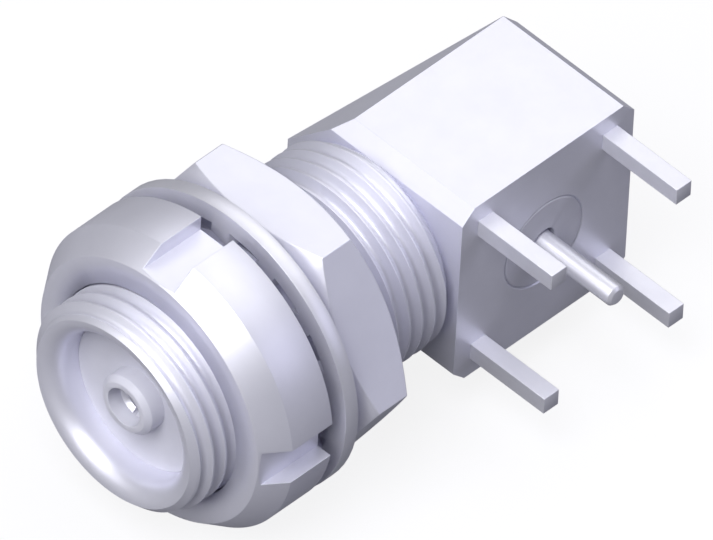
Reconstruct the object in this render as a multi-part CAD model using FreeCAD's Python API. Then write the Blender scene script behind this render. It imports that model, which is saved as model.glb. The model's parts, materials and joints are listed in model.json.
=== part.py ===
"""Right-angle coaxial panel receptacle for a printed circuit board.

Lengths are in millimetres. The part lies on its side, as it does off the board:
+X points out of the board face along the pins, -Y points out of the mating face, +Z is up.
The origin is on the board face, on the axis of the centre pin.
A station is a distance from the centre pin's axis towards the mating face, so y = -station.
A radius is measured from the mating axis, which lies parallel to the board face.
"""

import FreeCAD
import Part
import math
import os

# Board side
pin_pitch = 5.08
ground_pin_side = 0.60
ground_pin_seat = 1.40
pin_reach = 3.00
centre_pin_dia = 0.70
pin_tip_chamfer = 0.10
pin_insulator_dia = 3.13
pin_insulator_length = 1.50
groove_chamfer = 0.05
pin_shoulder = 0.10
pin_taper_length = 0.60
pin_hole_chamfer = 0.04
pin_hole_clearance = 0.01

# Elbow block
block_side = 7.00
block_length = 7.00
edge_chamfer = 0.47
corner_bevel = 2.11
back_drop = 2.23
chamber_dia = 3.10
chamber_end = 1.00
cap_dia = 2.60
cap_thickness = 0.60
cap_chamfer = 0.10
cap_seat_width = 0.20

# Threaded shell
thread_inset = 0.02
shell_reach = 10.53
root_chamfer = 0.45
rim_chamfer = 0.37
mating_bore_dia = 5.00
mating_depth = 1.10
insulator_flange = 1.00
shell_bore_dia = 4.40
spigot_dia = 5.60
spigot_length = 1.60

# Centre line: insulators, contact and retaining ring
boss_dia = 2.00
boss_height = 0.67
boss_chamfer = 0.17
boss_hole_dia = 1.28
contact_dia = 1.24
contact_bore_dia = 0.94
contact_bore_depth = 3.60
contact_recess = 0.48
contact_lead_in = 0.13
contact_slot_width = 0.14
contact_slot_length = 3.00
collar_dia = 1.90
collar_length = 0.60
collar_setback = 5.20
stem_dia = 0.64
stem_overrun = 0.45
socket_spigot_dia = 2.60
socket_spigot_length = 1.20
ring_length = 0.60
ring_bore_dia = 2.40
rear_insulator_hole_chamfer = 0.15
pin_head_dia = 1.30
pin_head_overrun = 0.65
insulator_clearance = 0.01

# Nuts and lock washer
rim_proud = 1.47
thread_clearance = 0.04
slotted_nut_dia = 10.00
slotted_nut_length = 2.46
slotted_nut_bevel_length = 0.84
slotted_nut_face_dia = 8.80
slot_width = 1.28
slot_depth = 0.57
slot_count = 4
washer_dia = 10.00
washer_sheet = 0.50
washer_ring_width = 0.66
tooth_count = 14
tooth_root_width = 0.70
tooth_tip_width = 0.92
tooth_root_length = 0.06
tooth_root_overlap = 0.06
tooth_tip_dia = 7.74
tooth_twist = 13.0
tooth_turn = 5.0
washer_front_gap = 0.54
washer_rear_gap = 0.24
across_flats = 9.00
hex_nut_length = 2.00
hex_face_dia = 8.90
hex_cone_angle = 30.0
nut_entry_chamfer = 0.12

# Places that follow from the sizes above
axis_x = -block_side / 2
thread_dia = block_side - 2 * thread_inset
block_front = block_length / 2
rim_station = block_front + shell_reach
floor_station = rim_station - mating_depth
flange_station = floor_station - insulator_flange
shell_rear = block_front - spigot_length
slotted_nut_front = rim_station - rim_proud
slotted_nut_rear = slotted_nut_front - slotted_nut_length
washer_front = slotted_nut_rear - washer_front_gap
washer_rear = washer_front - washer_sheet
hex_nut_front = washer_rear - washer_rear_gap
hex_nut_rear = hex_nut_front - hex_nut_length
boss_front = floor_station + boss_height
contact_front = boss_front - contact_recess
collar_front = contact_front - collar_setback
collar_rear = collar_front - collar_length
rear_insulator_rear = shell_rear + ring_length
nut_bore_radius = thread_dia / 2 + thread_clearance
pin_shoulder_radius = centre_pin_dia / 2 + pin_shoulder

mating_axis = FreeCAD.Vector(0, -1, 0)
board_normal = FreeCAD.Vector(1, 0, 0)


def on_axis(station, radius=0.0):
    """Point at a station, that far from the mating axis towards the board."""
    return FreeCAD.Vector(axis_x + radius, -station, 0)


def turned(outline):
    """Solid of revolution about the mating axis.

    The outline is a closed run of (station, radius) points. A point with two more numbers is
    reached by an arc through the (station, radius) that they give.
    """
    edges = []
    for before, after in zip(outline, outline[1:] + outline[:1]):
        start, end = on_axis(*before[:2]), on_axis(*after[:2])
        if len(after) == 4:
            edges.append(Part.Arc(start, on_axis(*after[2:]), end).toShape())
        else:
            edges.append(Part.LineSegment(start, end).toShape())
    face = Part.Face(Part.Wire(edges))
    return face.revolve(on_axis(0), mating_axis, 360)


def axial_rod(radius, low_station, high_station):
    """Cylinder on the mating axis between two stations."""
    return Part.makeCylinder(radius, high_station - low_station, on_axis(low_station), mating_axis)


def board_rod(radius, low_x, high_x):
    """Cylinder on the centre pin's axis between two distances from the board face."""
    return Part.makeCylinder(radius, high_x - low_x, FreeCAD.Vector(low_x, 0, 0), board_normal)


def board_cone(radius_low, radius_high, low_x, high_x):
    """Cone on the centre pin's axis, with a radius at each end."""
    base = FreeCAD.Vector(low_x, 0, 0)
    return Part.makeCone(radius_low, radius_high, high_x - low_x, base, board_normal)


def box(low, high):
    """Box between two opposite corners."""
    size = [b - a for a, b in zip(low, high)]
    return Part.makeBox(*size, FreeCAD.Vector(*low))


def prism(points, travel):
    """Straight prism: a closed polygon of points, pushed along the vector travel."""
    corners = [FreeCAD.Vector(*p) for p in points]
    return Part.Face(Part.makePolygon(corners + corners[:1])).extrude(FreeCAD.Vector(*travel))


def around_axis(shape, degrees):
    """Copy of a shape turned about the mating axis."""
    copy = shape.copy()
    copy.rotate(on_axis(0), mating_axis, degrees)
    return copy


def slope_placement():
    """Placement on the middle of the sloping back: its z axis points out of that face."""
    angle = math.degrees(math.atan2(back_drop, block_length))
    centre = FreeCAD.Vector(-block_side + back_drop / 2, 0, 0)
    outward = FreeCAD.Rotation(FreeCAD.Vector(0, 0, 1), FreeCAD.Vector(-1, 0, 0))
    tilt = FreeCAD.Rotation(FreeCAD.Vector(0, 0, 1), -angle)
    return FreeCAD.Placement(centre, tilt.multiply(outward))


def ground_pin_places():
    """Name and (y, z) of each ground pin's axis."""
    half = pin_pitch / 2
    return {
        "ground_pin_front_upper": (-half, half),
        "ground_pin_front_lower": (-half, -half),
        "ground_pin_rear_upper": (half, half),
        "ground_pin_rear_lower": (half, -half),
    }


def block_outline():
    """The block's solid form: square with chamfered edges, a sloping back and two bevelled corners."""
    y, z, c = block_length / 2, block_side / 2, edge_chamfer
    profile = [
        (0, -y, -z + c), (0, -y + c, -z), (0, y - c, -z), (0, y, -z + c),
        (0, y, z - c), (0, y - c, z), (0, -y + c, z), (0, -y, z - c),
    ]
    body = prism(profile, (-block_side, 0, 0))
    back = [(-block_side, -y, -z), (-block_side, y, -z), (-block_side + back_drop, y, -z)]
    body = body.cut(prism(back, (0, 0, block_side)))
    for side in (-1, 1):
        bevel = [
            (-block_side, -y, side * z),
            (-block_side + corner_bevel, -y, side * z),
            (-block_side, -y, side * (z - corner_bevel)),
        ]
        body = body.cut(prism(bevel, (0, block_length, 0)))
    return body


def make_block():
    """Elbow block, bored for the shell, the contact, the board pins and the access cap."""
    block = block_outline()
    block = block.cut(axial_rod(spigot_dia / 2, shell_rear, block_front))
    block = block.cut(axial_rod(chamber_dia / 2, -chamber_end, shell_rear))
    radius = pin_insulator_dia / 2
    block = block.cut(board_rod(radius, axis_x - pin_head_overrun, 0))
    block = block.cut(board_cone(radius, radius + groove_chamfer, -groove_chamfer, 0))
    half = ground_pin_side / 2
    for y, z in ground_pin_places().values():
        block = block.cut(box((-ground_pin_seat, y - half, z - half), (0, y + half, z + half)))
    seat = Part.makeCylinder(cap_dia / 2, cap_thickness, FreeCAD.Vector(0, 0, -cap_thickness))
    way_in_depth = block_side / 2
    way_in = Part.makeCylinder(cap_dia / 2 - cap_seat_width, way_in_depth, FreeCAD.Vector(0, 0, -way_in_depth))
    for opening in (seat, way_in):
        opening.Placement = slope_placement()
        block = block.cut(opening)
    return block


def make_access_cap():
    """Round cap pressed into the sloping back, flush with it, over the solder chamber."""
    cap = Part.makeCylinder(cap_dia / 2, cap_thickness, FreeCAD.Vector(0, 0, -cap_thickness))
    rim = [e for e in cap.Edges if abs(e.BoundBox.ZMin) < 1e-6 and abs(e.BoundBox.ZMax) < 1e-6]
    cap = cap.makeChamfer(cap_chamfer, rim)
    cap.Placement = slope_placement()
    return cap


def make_shell():
    """Threaded shell, drawn at the thread's outer diameter, with a rounded mouth and a rear spigot."""
    outer, mouth = thread_dia / 2, mating_bore_dia / 2
    lip = outer - rim_chamfer
    round_radius = lip - mouth
    middle = round_radius * (1 - math.sqrt(0.5))
    return turned([
        (shell_rear, shell_bore_dia / 2),
        (shell_rear, spigot_dia / 2),
        (block_front, spigot_dia / 2),
        (block_front, outer - root_chamfer),
        (block_front + root_chamfer, outer),
        (rim_station - rim_chamfer, outer),
        (rim_station, lip),
        (rim_station - round_radius, mouth, rim_station - middle, mouth + middle),
        (flange_station, mouth),
        (flange_station, shell_bore_dia / 2),
    ])


def make_front_insulator():
    """Front insulator: the floor of the mating bore, with the boss round the socket contact."""
    bore = boss_hole_dia / 2
    return turned([
        (collar_front, bore),
        (collar_front, collar_dia / 2 + insulator_clearance),
        (collar_rear, collar_dia / 2 + insulator_clearance),
        (collar_rear, socket_spigot_dia / 2),
        (collar_rear + socket_spigot_length, socket_spigot_dia / 2),
        (collar_rear + socket_spigot_length, shell_bore_dia / 2),
        (flange_station, shell_bore_dia / 2),
        (flange_station, mating_bore_dia / 2),
        (floor_station, mating_bore_dia / 2),
        (floor_station, boss_dia / 2),
        (boss_front - boss_chamfer, boss_dia / 2),
        (boss_front, boss_dia / 2 - boss_chamfer),
        (boss_front, bore),
    ])


def make_rear_insulator():
    """Rear insulator: carries the contact's stem and takes the front insulator's spigot."""
    hole = stem_dia / 2 + insulator_clearance
    return turned([
        (rear_insulator_rear, hole + rear_insulator_hole_chamfer),
        (rear_insulator_rear, shell_bore_dia / 2),
        (collar_rear + socket_spigot_length, shell_bore_dia / 2),
        (collar_rear + socket_spigot_length, socket_spigot_dia / 2),
        (collar_rear, socket_spigot_dia / 2),
        (collar_rear, hole),
        (rear_insulator_rear + rear_insulator_hole_chamfer, hole),
    ])


def make_retaining_ring():
    """Ring pressed into the shell's rear end, behind the rear insulator."""
    ring = axial_rod(shell_bore_dia / 2, shell_rear, rear_insulator_rear)
    return ring.cut(axial_rod(ring_bore_dia / 2, shell_rear, rear_insulator_rear))


def make_contact():
    """Socket contact: slotted front, collar held between the insulators, stem to the centre pin."""
    bore, outer = contact_bore_dia / 2, contact_dia / 2
    bore_end = contact_front - contact_bore_depth
    drill_tip = bore_end - bore * math.tan(math.radians(31))
    contact = turned([
        (-stem_overrun, 0),
        (-stem_overrun, stem_dia / 2),
        (collar_rear, stem_dia / 2),
        (collar_rear, collar_dia / 2),
        (collar_front, collar_dia / 2),
        (collar_front, outer),
        (contact_front, outer),
        (contact_front, bore + contact_lead_in),
        (contact_front - contact_lead_in, bore),
        (bore_end, bore),
        (drill_tip, 0),
    ])
    slot = box(
        (axis_x - outer, -contact_front, -contact_slot_width / 2),
        (axis_x + outer, -contact_front + contact_slot_length, contact_slot_width / 2),
    )
    return contact.cut(slot).cut(around_axis(slot, 90))


def make_centre_pin():
    """Centre pin: tail for the board, tapered shoulder in the bush, head drilled for the contact's stem."""
    radius = centre_pin_dia / 2
    head = board_rod(pin_head_dia / 2, axis_x - pin_head_overrun, axis_x + pin_head_overrun)
    shoulder = board_rod(pin_shoulder_radius, axis_x, -pin_taper_length)
    taper = board_cone(pin_shoulder_radius, radius, -pin_taper_length, 0)
    tail = board_rod(radius, 0, pin_reach - pin_tip_chamfer)
    tip = board_cone(radius, radius - pin_tip_chamfer, pin_reach - pin_tip_chamfer, pin_reach)
    hole = axial_rod(stem_dia / 2, -pin_head_dia, pin_head_dia)
    return head.multiFuse([shoulder, taper, tail, tip]).removeSplitter().cut(hole)


def make_pin_insulator():
    """Insulating bush that centres the pin in the board face, flush with it."""
    radius, hole = pin_insulator_dia / 2, pin_shoulder_radius + pin_hole_clearance
    bush = board_rod(radius, -pin_insulator_length, -groove_chamfer)
    bush = bush.fuse(board_cone(radius, radius - groove_chamfer, -groove_chamfer, 0))
    bush = bush.cut(board_rod(hole, -pin_insulator_length, 0))
    return bush.cut(board_cone(hole, hole + pin_hole_chamfer, -pin_hole_chamfer, 0))


def make_ground_pin(y, z):
    """Square ground pin, seated in the block and standing out of the board face."""
    half = ground_pin_side / 2
    return box((-ground_pin_seat, y - half, z - half), (pin_reach, y + half, z + half))


def make_slotted_nut():
    """Round front nut with a bevelled face and spanner slots."""
    radius = slotted_nut_dia / 2
    nut = turned([
        (slotted_nut_rear, nut_bore_radius + nut_entry_chamfer),
        (slotted_nut_rear, radius),
        (slotted_nut_front - slotted_nut_bevel_length, radius),
        (slotted_nut_front, slotted_nut_face_dia / 2),
        (slotted_nut_front, nut_bore_radius),
        (slotted_nut_rear + nut_entry_chamfer, nut_bore_radius),
    ])
    slot = box(
        (axis_x - slot_width / 2, -slotted_nut_front, radius - slot_depth),
        (axis_x + slot_width / 2, -slotted_nut_rear, radius),
    )
    for i in range(slot_count):
        nut = nut.cut(around_axis(slot, i * 360 / slot_count))
    return nut


def make_hex_nut():
    """Hexagonal rear nut: flats up and down, both faces chamfered by a cone."""
    corner = across_flats / math.sqrt(3)
    points = []
    for i in range(6):
        angle = math.radians(60 * i)
        points.append((axis_x + corner * math.cos(angle), -hex_nut_front, corner * math.sin(angle)))
    face = hex_face_dia / 2
    rise = (corner - face) * math.tan(math.radians(hex_cone_angle))
    bore, entry = nut_bore_radius, nut_entry_chamfer
    turning = turned([
        (hex_nut_rear, bore + entry),
        (hex_nut_rear, face),
        (hex_nut_rear + rise, corner),
        (hex_nut_front - rise, corner),
        (hex_nut_front, face),
        (hex_nut_front, bore + entry),
        (hex_nut_front - entry, bore),
        (hex_nut_rear + entry, bore),
    ])
    return prism(points, (0, hex_nut_length, 0)).common(turning)


def tooth_section(width, height, twist):
    """Closed wire across a washer tooth, twisted about the line from the axis through its middle."""
    middle = FreeCAD.Vector(axis_x, -(washer_rear + washer_front) / 2, height)
    wide = width / 2
    thick = washer_sheet / 2
    corners = []
    for across, along in ((-wide, -thick), (wide, -thick), (wide, thick), (-wide, thick)):
        corner = FreeCAD.Vector(across, along, 0)
        corners.append(middle + FreeCAD.Rotation(FreeCAD.Vector(0, 0, 1), twist).multVec(corner))
    return Part.makePolygon(corners + corners[:1])


def make_lock_washer():
    """Internal-tooth lock washer: a flat outer ring with teeth that twist towards their tips."""
    outer = washer_dia / 2
    inner = outer - washer_ring_width
    ring = axial_rod(outer, washer_rear, washer_front).cut(axial_rod(inner, washer_rear, washer_front))
    neck = inner - tooth_root_length
    root = box(
        (axis_x - tooth_root_width / 2, -washer_front, neck),
        (axis_x + tooth_root_width / 2, -washer_rear, inner + tooth_root_overlap),
    )
    sections = [
        tooth_section(tooth_root_width, neck, 0),
        tooth_section(tooth_tip_width, tooth_tip_dia / 2, -tooth_twist),
    ]
    tooth = root.fuse(Part.makeLoft(sections, True, True))
    teeth = [around_axis(tooth, tooth_turn + i * 360 / tooth_count) for i in range(tooth_count)]
    return ring.multiFuse(teeth).removeSplitter()


def main():
    """Builds every piece and writes one STEP file for each."""
    pieces = {
        "elbow_block": make_block(),
        "access_cap": make_access_cap(),
        "threaded_shell": make_shell(),
        "front_insulator": make_front_insulator(),
        "rear_insulator": make_rear_insulator(),
        "retaining_ring": make_retaining_ring(),
        "socket_contact": make_contact(),
        "centre_pin": make_centre_pin(),
        "pin_insulator": make_pin_insulator(),
        "slotted_nut": make_slotted_nut(),
        "lock_washer": make_lock_washer(),
        "hex_nut": make_hex_nut(),
    }
    for name, (y, z) in ground_pin_places().items():
        pieces[name] = make_ground_pin(y, z)
    os.makedirs("parts", exist_ok=True)
    for name, shape in pieces.items():
        shape.exportStep(f"parts/{name}.step")
        print(f"{name}: {len(shape.Solids)} solid, {shape.Volume:.3f} mm3, valid {shape.isValid()}")


main()
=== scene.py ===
"""Looks of the right-angle coaxial receptacle: threads, edges, materials, floor, lamps and camera.

The sizes of the pieces are in millimetres, and MM turns them into the frame's metres. A station is
the distance from the centre pin's axis towards the mating face, along -Y.
"""

import bmesh
import bpy
import itertools
import json
import math
from mathutils import Matrix, Vector

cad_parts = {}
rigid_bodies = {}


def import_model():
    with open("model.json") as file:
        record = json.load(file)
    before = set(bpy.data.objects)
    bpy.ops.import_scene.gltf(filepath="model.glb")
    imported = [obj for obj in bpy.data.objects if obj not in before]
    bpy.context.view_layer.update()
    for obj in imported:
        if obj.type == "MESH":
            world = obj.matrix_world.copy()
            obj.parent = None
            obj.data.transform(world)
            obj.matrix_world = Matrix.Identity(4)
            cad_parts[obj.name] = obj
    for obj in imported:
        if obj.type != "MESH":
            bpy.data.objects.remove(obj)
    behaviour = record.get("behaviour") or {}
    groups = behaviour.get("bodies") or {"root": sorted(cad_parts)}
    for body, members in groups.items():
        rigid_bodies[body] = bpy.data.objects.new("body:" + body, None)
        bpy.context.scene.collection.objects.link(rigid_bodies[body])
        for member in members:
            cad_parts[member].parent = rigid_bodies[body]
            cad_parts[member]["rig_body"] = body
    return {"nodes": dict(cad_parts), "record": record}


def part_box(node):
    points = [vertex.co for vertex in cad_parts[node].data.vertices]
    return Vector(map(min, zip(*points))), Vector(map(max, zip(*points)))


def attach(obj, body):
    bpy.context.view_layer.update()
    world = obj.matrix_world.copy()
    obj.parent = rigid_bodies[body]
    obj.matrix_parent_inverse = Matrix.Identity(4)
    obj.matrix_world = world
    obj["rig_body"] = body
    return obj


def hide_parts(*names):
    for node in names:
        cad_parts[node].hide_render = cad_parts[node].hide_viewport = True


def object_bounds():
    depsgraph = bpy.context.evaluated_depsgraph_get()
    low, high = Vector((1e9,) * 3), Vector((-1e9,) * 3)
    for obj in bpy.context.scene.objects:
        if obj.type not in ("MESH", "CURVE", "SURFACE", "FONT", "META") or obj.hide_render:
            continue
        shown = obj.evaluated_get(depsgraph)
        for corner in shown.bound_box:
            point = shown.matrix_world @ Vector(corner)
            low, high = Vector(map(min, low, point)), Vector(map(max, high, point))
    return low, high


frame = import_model()
cad_box = [list(v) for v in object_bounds()]
nodes = frame["nodes"]
mounts = {mount["name"]: mount for mount in frame["record"]["mounts"]}
scene = bpy.context.scene
MM = 0.001


# Sizes that the solids have too

def stations(node):
    """Rear and front end of a piece along the mating axis."""
    low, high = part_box(node)
    return round(-high.y / MM, 4), round(-low.y / MM, 4)


AXIS_X = round(mounts["contact_socket"]["pos_m"][0] / MM, 4)
BLOCK_FRONT = stations("elbow_block")[1]
SHELL_REAR, SHELL_FRONT = stations("threaded_shell")
NUT_REAR, NUT_FRONT = stations("slotted_nut")
HEX_REAR, HEX_FRONT = stations("hex_nut")

CREST_R = 3.48
REAR_CHAMFER = 0.45
LIP_CHAMFER = 0.37
MOUTH_R = 2.5
MOUTH_FLOOR = 11.93
SEAT_R = 2.2
SPIGOT_R = 2.8

NUT_BORE = 3.52
NUT_ENTRY = 0.12
NUT_R = 5.0
NUT_FACE_R = 4.4
NUT_BEVEL_LENGTH = 0.84
SLOT_HALF_WIDTH = 0.64
SLOT_FLOOR = 4.43
ACROSS_FLATS = 9.0
HEX_FACE_R = 4.45
HEX_FACE_ANGLE = math.radians(30)

# Threads, which the solids leave out
PITCH = 0.5
THREAD_DEPTH = 0.27
CREST_BREAK = 0.012
NUT_ROOT = NUT_BORE + 0.10
NUT_RUNOUT = 0.06
POINTS_PER_TURN = 144
MOUTH_STEPS = 12
THREAD_CREASE = math.radians(38)

# Edge breaking and cutting
EDGE_ANGLE = math.radians(25)
FLAT_ANGLE = math.radians(0.3)
CUT_MARGIN = 1.5
CONE_OVERSHOOT = 1.4

# Camera, lamps and floor: the photo's size and the place of the frame's origin in it, in pixels,
# and distances in metres
PHOTO_WIDTH, PHOTO_HEIGHT = 713, 540
ORIGIN_PX = (543.86, 242.06)
PX_PER_M = 34.8 / MM
CAMERA_DISTANCE = 0.12
LAMP_DISTANCE = 0.24
FLOOR_GLOW = 0.865
MIRRORED_FLOOR_GLOW = 0.10


# Materials

def new_material(name):
    """New material with its node tree and shader."""
    mat = bpy.data.materials.new(name)
    mat.use_nodes = True
    tree = mat.node_tree
    return mat, tree, tree.nodes["Principled BSDF"]


def add(tree, kind, **values):
    """New node, with values for its inputs or its own settings."""
    node = tree.nodes.new(kind)
    for key, value in values.items():
        if key in node.inputs:
            node.inputs[key].default_value = value
        else:
            setattr(node, key, value)
    return node


def maths(tree, operation, *values):
    """Result of a math node on sockets and numbers."""
    node = add(tree, "ShaderNodeMath", operation=operation)
    for socket, value in zip(node.inputs, values):
        if isinstance(value, bpy.types.NodeSocket):
            tree.links.new(value, socket)
        else:
            socket.default_value = value
    return node.outputs[0]


def noise(tree, place, scale, detail, roughness=0.5):
    """Noise between 0 and 1 at a place."""
    node = add(tree, "ShaderNodeTexNoise", Scale=scale, Detail=detail, Roughness=roughness)
    tree.links.new(place, node.inputs["Vector"])
    return node.outputs["Fac"]


def ramp(tree, source, *stops):
    """Colour that runs between two (place, colour) stops."""
    node = tree.nodes.new("ShaderNodeValToRGB")
    for element, (place, colour) in zip(node.color_ramp.elements, stops):
        element.position = place
        element.color = (*colour, 1)
    tree.links.new(source, node.inputs[0])
    return node.outputs[0]


def grey(value):
    return (value, value, value)


def cloudy_colour(tree, shader, cloud, colour, depth):
    """Base colour that noise darkens by up to a depth."""
    dark = [value - depth for value in colour]
    tree.links.new(ramp(tree, cloud, (0.3, dark), (0.7, colour)), shader.inputs["Base Color"])


def fine_bump(tree, shader, marks, strength):
    """Bump a hundredth of a millimetre high from noise."""
    bump = add(tree, "ShaderNodeBump", Strength=strength, Distance=0.01 * MM)
    tree.links.new(marks, bump.inputs["Height"])
    tree.links.new(bump.outputs[0], shader.inputs["Normal"])


def turning_marks(tree, place):
    """Noise that runs round the mating axis, as a lathe leaves it."""
    link = tree.links.new
    split = add(tree, "ShaderNodeSeparateXYZ")
    link(place, split.inputs[0])
    across = add(tree, "ShaderNodeCombineXYZ")
    link(maths(tree, "SUBTRACT", split.outputs["X"], AXIS_X * MM), across.inputs["X"])
    link(split.outputs["Z"], across.inputs["Z"])
    radius = add(tree, "ShaderNodeVectorMath", operation="LENGTH")
    link(across.outputs[0], radius.inputs[0])
    lines = add(tree, "ShaderNodeCombineXYZ")
    link(radius.outputs["Value"], lines.inputs["X"])
    link(split.outputs["Y"], lines.inputs["Y"])
    return noise(tree, lines.outputs[0], 24000.0, 2.0)


def milling_marks(tree, place):
    """Noise drawn out along X."""
    stretch = add(tree, "ShaderNodeMapping", Scale=(0.04, 1.0, 1.0))
    tree.links.new(place, stretch.inputs["Vector"])
    return noise(tree, stretch.outputs[0], 20000.0, 2.0)


def metal(name, colour, depth, rough, turned=False, grain=1.0, spread=0.06):
    """Plated metal: a cloudy tint, a roughness that varies by spread, and machining marks."""
    mat, tree, shader = new_material(name)
    place = add(tree, "ShaderNodeTexCoord").outputs["Object"]
    cloudy_colour(tree, shader, noise(tree, place, 900.0, 4.0, 0.6), colour, depth)
    span = ramp(tree, noise(tree, place, 14000.0, 3.0, 0.7),
                (0.25, grey(rough - spread)), (0.75, grey(rough + spread)))
    tree.links.new(span, shader.inputs["Roughness"])
    marks = turning_marks(tree, place) if turned else milling_marks(tree, place)
    fine_bump(tree, shader, marks, 0.05 * grain)
    shader.inputs["Metallic"].default_value = 0.58
    shader.inputs["Specular IOR Level"].default_value = 0.35
    return mat


def plastic(name, colour, depth, rough):
    """Waxy insulator: slightly translucent, softly mottled and finely pitted."""
    mat, tree, shader = new_material(name)
    place = add(tree, "ShaderNodeTexCoord").outputs["Object"]
    cloudy_colour(tree, shader, noise(tree, place, 1500.0, 3.0), colour, depth)
    fine_bump(tree, shader, noise(tree, place, 16000.0, 2.0), 0.04)
    shader.inputs["Roughness"].default_value = rough
    shader.inputs["Subsurface Weight"].default_value = 0.05
    shader.inputs["Subsurface Radius"].default_value = grey(0.1 * MM)
    shader.inputs["Subsurface Scale"].default_value = 1.0
    return mat


plate_turned = metal("nickel_turned", (0.82, 0.82, 0.92), 0.03, 0.46, turned=True, grain=0.25, spread=0.03)
plate_milled = metal("nickel_milled", (0.82, 0.82, 0.92), 0.03, 0.42)
plate_washer = metal("nickel_stamped", (0.80, 0.80, 0.88), 0.04, 0.42)
silver = metal("silver_contact", (0.84, 0.84, 0.92), 0.02, 0.38, turned=True, grain=0.2, spread=0.02)
silver_pin = metal("silver_pin", (0.84, 0.84, 0.92), 0.02, 0.44, grain=0.1, spread=0.02)
tinned = metal("tin_pin", (0.82, 0.82, 0.90), 0.05, 0.44)
ptfe = plastic("fluoropolymer", (0.66, 0.66, 0.75), 0.03, 0.42)

# Material of each CAD piece that is shown, and the width in mm by which its sharp edges are broken
finish = {
    "elbow_block": (plate_milled, 0.04),
    "access_cap": (plate_milled, 0.02),
    "retaining_ring": (plate_turned, 0.02),
    "lock_washer": (plate_washer, 0.02),
    "front_insulator": (ptfe, 0.012),
    "rear_insulator": (ptfe, 0.02),
    "pin_insulator": (ptfe, 0.01),
    "socket_contact": (silver, 0.01),
    "centre_pin": (silver_pin, 0.015),
}
finish.update({name: (tinned, 0.02) for name in nodes if name.startswith("ground_pin")})


def dress(obj, material, width_mm=0.0, weighted=False):
    """Gives a piece its material, smooth shading and broken edges: the sharp or the weighted ones."""
    obj.data.materials.clear()
    obj.data.materials.append(material)
    for face in obj.data.polygons:
        face.use_smooth = True
    if not width_mm:
        return
    if not weighted:
        weld = obj.modifiers.new("weld", "WELD")
        weld.merge_threshold = 1e-6
        flat = obj.modifiers.new("flat", "DECIMATE")
        flat.decimate_type = "DISSOLVE"
        flat.angle_limit = FLAT_ANGLE
    bevel = obj.modifiers.new("edge", "BEVEL")
    bevel.width = width_mm * MM
    bevel.segments = 2
    bevel.limit_method = "WEIGHT" if weighted else "ANGLE"
    bevel.angle_limit = EDGE_ANGLE
    bevel.use_clamp_overlap = True
    even = obj.modifiers.new("even", "WEIGHTED_NORMAL")
    even.mode = "FACE_AREA"
    even.weight = 100
    even.keep_sharp = True


for name, (material, width_mm) in finish.items():
    dress(nodes[name], material, width_mm)


# Pieces rebuilt with their threads

def lathe_point(station, radius, angle):
    """Point in metres at a station and radius, at an angle about the mating axis from straight up."""
    return Vector((
        (AXIS_X + radius * math.sin(angle)) * MM,
        -station * MM,
        radius * math.cos(angle) * MM,
    ))


def mesh_object(name, points, faces):
    """New object from points and faces, with coincident points merged and faces turned outwards."""
    mesh = bpy.data.meshes.new(name)
    mesh.from_pydata([tuple(p) for p in points], [], faces)
    work = bmesh.new()
    work.from_mesh(mesh)
    bmesh.ops.remove_doubles(work, verts=work.verts, dist=1e-8)
    bmesh.ops.dissolve_degenerate(work, edges=work.edges, dist=1e-8)
    bmesh.ops.recalc_face_normals(work, faces=work.faces)
    work.to_mesh(mesh)
    work.free()
    mesh.validate()
    obj = bpy.data.objects.new(name, mesh)
    scene.collection.objects.link(obj)
    return obj


def block(low, high, degrees):
    """Box between (x from the mating axis, station, z) corners, turned about that axis."""
    cos, sin = math.cos(math.radians(degrees)), math.sin(math.radians(degrees))
    corners = [
        ((AXIS_X + x * cos + z * sin) * MM, -station * MM, (z * cos - x * sin) * MM)
        for x, station, z in itertools.product(*zip(low, high))
    ]
    faces = [(0, 1, 3, 2), (4, 5, 7, 6), (0, 1, 5, 4), (2, 3, 7, 6), (0, 2, 6, 4), (1, 3, 7, 5)]
    return mesh_object("cutter", corners, faces)


def cut(obj, cutters):
    """Takes the cutters out of an object for good and deletes them."""
    for cutter in cutters:
        step = obj.modifiers.new("cut", "BOOLEAN")
        step.operation = "DIFFERENCE"
        step.solver = "EXACT"
        step.object = cutter
    bpy.context.view_layer.update()
    shaped = obj.evaluated_get(bpy.context.evaluated_depsgraph_get())
    mesh = bpy.data.meshes.new_from_object(shaped)
    obj.modifiers.clear()
    obj.data = mesh
    for cutter in cutters:
        bpy.data.objects.remove(cutter)


def weigh_outer_edges(obj):
    """Marks the sharp edges well outside a nut's thread for the edge breaking."""
    inside = (NUT_ROOT + 0.1) * MM
    work = bmesh.new()
    work.from_mesh(obj.data)
    bmesh.ops.remove_doubles(work, verts=work.verts, dist=1e-7)
    weight = work.edges.layers.float.new("bevel_weight_edge")
    for edge in work.edges:
        outer = all(math.hypot(v.co.x - AXIS_X * MM, v.co.z) > inside for v in edge.verts)
        if outer and len(edge.link_faces) == 2 and edge.calc_face_angle() > EDGE_ANGLE:
            edge[weight] = 1.0
    work.to_mesh(obj.data)
    work.free()


def install(obj, node, material, width_mm=0.0):
    """Puts a rebuilt piece in the place of its CAD node."""
    if width_mm:
        weigh_outer_edges(obj)
    dress(obj, material, width_mm, weighted=True)
    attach(obj, nodes[node]["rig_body"])
    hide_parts(node)


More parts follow.
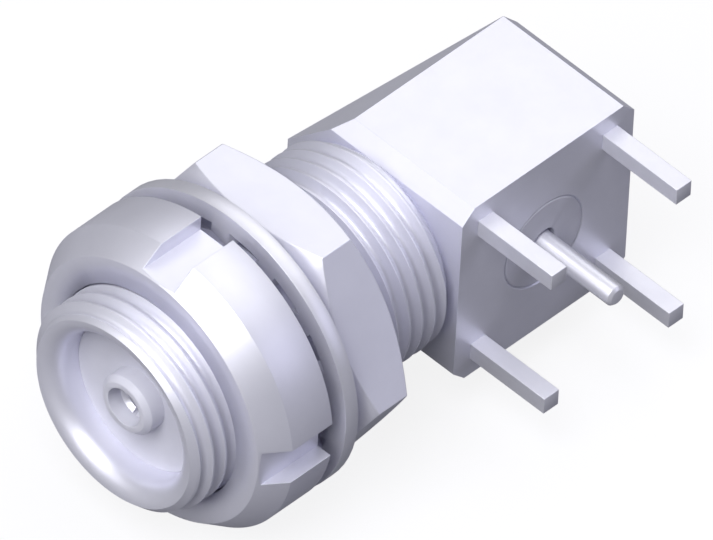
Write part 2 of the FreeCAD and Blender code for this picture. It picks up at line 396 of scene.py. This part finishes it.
def threaded(name, rear, front, profile, limit, closing):
    """Closed body: a thread between two stations, then turned (station, radius) rows back to its start.

    The thread's rows follow the helix, so that its crests and roots stay clean. profile gives them
    as shares of the pitch with radii, and limit(station, radius) is the radius that the ends leave.
    """
    steps = POINTS_PER_TURN
    # Against the lathe's own sense, which makes the thread right-handed
    angles = [-2 * math.pi * i / steps for i in range(steps)]
    turns = range(math.floor(rear / PITCH) - 1, math.ceil(front / PITCH) + 2)
    rows = [((turn + share) * PITCH, radius) for turn in turns for share, radius in profile]
    points, faces = [], []
    for start, radius in rows:
        for i, angle in enumerate(angles):
            station = min(max(start + PITCH * i / steps, rear), front)
            points.append(lathe_point(station, limit(station, radius), angle))
    per_turn = len(profile)
    for r in range(len(rows) - 1):
        for i in range(steps):
            a, b = r * steps + i, (r + 1) * steps + i
            if i + 1 < steps:
                faces.append((a, a + 1, b + 1, b))
            elif r + 1 + per_turn < len(rows):
                # A full turn on, the row goes over into the one a pitch further along
                c, d = (r + per_turn) * steps, (r + 1 + per_turn) * steps
                faces.append((a, c, d, b))
    base = len(points)
    for station, radius in closing:
        points += [lathe_point(station, radius, angle) for angle in angles]
    for r in range(len(closing) - 1):
        a, b = base + r * steps, base + (r + 1) * steps
        for i in range(steps):
            j = (i + 1) % steps
            faces.append((a + i, a + j, b + j, b + i))
    return mesh_object(name, points, faces)


def barrel_limit(station, radius):
    """The chamfers at both ends of the barrel."""
    rear_chamfer = CREST_R - REAR_CHAMFER + (station - BLOCK_FRONT)
    front_chamfer = CREST_R - LIP_CHAMFER + (SHELL_FRONT - station)
    return min(radius, rear_chamfer, front_chamfer)


def bore_limit(rear, front, front_entry):
    """A nut's entry cone at the rear, and at the front another one or a thread that fades out."""
    def limit(station, radius):
        rear_cone = NUT_BORE + NUT_ENTRY - (station - rear)
        if front_entry:
            return max(radius, rear_cone, NUT_BORE + NUT_ENTRY - (front - station))
        faded = NUT_BORE + max(front - NUT_RUNOUT - station, 0)
        return max(min(radius, faded), rear_cone)
    return limit


# Shares of the pitch with radii: the crest between broken corners, then the rounded root
outer_thread = [
    (0.00, CREST_R - CREST_BREAK), (0.02, CREST_R), (0.12, CREST_R), (0.14, CREST_R - CREST_BREAK),
]
root_rises = [
    (0.30, 0.11), (0.42, 0.035), (0.50, 0.006), (0.57, 0.0), (0.64, 0.006), (0.72, 0.035), (0.84, 0.11),
]
outer_thread += [(share, CREST_R - THREAD_DEPTH + rise) for share, rise in root_rises]
inner_thread = [(0.00, NUT_BORE), (0.36, NUT_BORE), (0.60, NUT_ROOT), (0.76, NUT_ROOT)]

# Barrel with its rounded mouth
lip_r = CREST_R - LIP_CHAMFER
round_r = lip_r - MOUTH_R
mouth = []
for k in range(MOUTH_STEPS + 1):
    angle = math.radians(90 * k / MOUTH_STEPS)
    mouth.append((SHELL_FRONT - round_r * (1 - math.cos(angle)), lip_r - round_r * math.sin(angle)))
barrel = threaded("barrel", BLOCK_FRONT, SHELL_FRONT, outer_thread, barrel_limit, mouth + [
    (MOUTH_FLOOR, MOUTH_R),
    (MOUTH_FLOOR, SEAT_R),
    (SHELL_REAR, SEAT_R),
    (SHELL_REAR, SPIGOT_R),
    (BLOCK_FRONT, SPIGOT_R),
    (BLOCK_FRONT, CREST_R - REAR_CHAMFER),
])
install(barrel, "threaded_shell", plate_turned)
barrel.data.set_sharp_from_angle(angle=THREAD_CREASE)

# Slotted nut
nut_limit = bore_limit(NUT_REAR, NUT_FRONT, front_entry=False)
nut = threaded("front_nut", NUT_REAR, NUT_FRONT, inner_thread, nut_limit, [
    (NUT_FRONT, NUT_BORE),
    (NUT_FRONT, NUT_FACE_R),
    (NUT_FRONT - NUT_BEVEL_LENGTH, NUT_R),
    (NUT_REAR, NUT_R),
    (NUT_REAR, NUT_BORE + NUT_ENTRY),
])
slot_low = (-SLOT_HALF_WIDTH, NUT_REAR - CUT_MARGIN, SLOT_FLOOR)
slot_high = (SLOT_HALF_WIDTH, NUT_FRONT + CUT_MARGIN, NUT_R + CUT_MARGIN)
cut(nut, [block(slot_low, slot_high, 90 * k) for k in range(4)])
install(nut, "slotted_nut", plate_turned, 0.04)

# Hex nut: its face cones run past the corners, and the flats cut them off
corner = ACROSS_FLATS / math.sqrt(3)
cone_reach = (corner - HEX_FACE_R) * CONE_OVERSHOOT
cone_length = cone_reach * math.tan(HEX_FACE_ANGLE)
hex_limit = bore_limit(HEX_REAR, HEX_FRONT, front_entry=True)
hex_nut = threaded("rear_nut", HEX_REAR, HEX_FRONT, inner_thread, hex_limit, [
    (HEX_FRONT, NUT_BORE + NUT_ENTRY),
    (HEX_FRONT, HEX_FACE_R),
    (HEX_FRONT - cone_length, HEX_FACE_R + cone_reach),
    (HEX_REAR + cone_length, HEX_FACE_R + cone_reach),
    (HEX_REAR, HEX_FACE_R),
    (HEX_REAR, NUT_BORE + NUT_ENTRY),
])
flat_low = (-corner, HEX_REAR - CUT_MARGIN, ACROSS_FLATS / 2)
flat_high = (corner, HEX_FRONT + CUT_MARGIN, ACROSS_FLATS / 2 + CUT_MARGIN)
cut(hex_nut, [block(flat_low, flat_high, 60 * k) for k in range(6)])
install(hex_nut, "hex_nut", plate_turned, 0.05)


# Floor: it glows for the camera and faintly in mirrored rays, and lights nothing by its glow

low, high = (Vector(v) for v in cad_box)
middle = (low + high) / 2
bpy.ops.mesh.primitive_plane_add(size=4.0, location=(0, 0, low.z))
floor = bpy.context.object
floor.name = "floor"
floor_mat, tree, shader = new_material("floor")
speck = add(tree, "ShaderNodeTexNoise", Scale=40.0, Detail=3.0)
tint = ramp(tree, speck.outputs["Fac"], (0.0, (0.115, 0.115, 0.13)), (1.0, (0.13, 0.13, 0.145)))
tree.links.new(tint, shader.inputs["Base Color"])
shader.inputs["Roughness"].default_value = 0.9
shader.inputs["Specular IOR Level"].default_value = 0.1
rays = add(tree, "ShaderNodeLightPath").outputs
mirrored = maths(tree, "MAXIMUM", rays["Is Glossy Ray"], rays["Is Transmission Ray"])
mirrored_glow = maths(tree, "MULTIPLY", mirrored, MIRRORED_FLOOR_GLOW)
glow = maths(tree, "MULTIPLY_ADD", rays["Is Camera Ray"], FLOOR_GLOW, mirrored_glow)
tree.links.new(glow, shader.inputs["Emission Strength"])
shader.inputs["Emission Color"].default_value = (1, 1, 1, 1)
floor.data.materials.append(floor_mat)


# World and lamps

world = bpy.data.worlds.new("world")
scene.world = world
world.use_nodes = True
background = world.node_tree.nodes["Background"]
background.inputs["Color"].default_value = (0.62, 0.64, 1.0, 1)
background.inputs["Strength"].default_value = 0.035


def area(name, direction, size, power, colour=(1, 1, 1)):
    """Soft round lamp, aimed at the middle of the part from a direction."""
    data = bpy.data.lights.new(name, "AREA")
    data.shape = "DISK"
    data.size = size
    data.energy = power
    data.color = colour
    lamp = bpy.data.objects.new(name, data)
    towards = Vector(direction).normalized()
    lamp.location = middle + towards * LAMP_DISTANCE
    lamp.rotation_mode = "QUATERNION"
    lamp.rotation_quaternion = towards.to_track_quat("Z", "Y")
    scene.collection.objects.link(lamp)


area("key", (0.16, -0.50, 0.85), 0.14, 0.450)
area("front", (0.12, -0.88, 0.45), 0.12, 0.160)
area("left", (-0.42, -0.76, 0.50), 0.14, 0.070)
area("top", (-0.40, 0.50, 0.77), 0.18, 0.125)
area("back", (0.20, 0.52, 0.83), 0.18, 0.136)
area("side", (0.76, 0.50, 0.41), 0.14, 0.078, (0.80, 0.80, 1.0))


# Camera, turned as the directions of the photo's edges say

right = Vector((0.70687, 0.70596, 0.04396))
up = Vector((-0.52834, 0.48567, 0.69640))
back = Vector((0.47028, -0.51549, 0.71630))
camera_data = bpy.data.cameras.new("camera")
camera_data.type = "ORTHO"
camera_data.ortho_scale = PHOTO_WIDTH / PX_PER_M
camera_data.clip_start = 0.001
camera_data.clip_end = 10.0
camera = bpy.data.objects.new("camera", camera_data)
target = right * ((PHOTO_WIDTH / 2 - ORIGIN_PX[0]) / PX_PER_M)
target += up * ((ORIGIN_PX[1] - PHOTO_HEIGHT / 2) / PX_PER_M)
turn = Matrix((right, up, back)).transposed().to_4x4()
camera.matrix_world = Matrix.Translation(target + back * CAMERA_DISTANCE) @ turn
scene.collection.objects.link(camera)
scene.camera = camera
scene.view_settings.view_transform = "Standard"
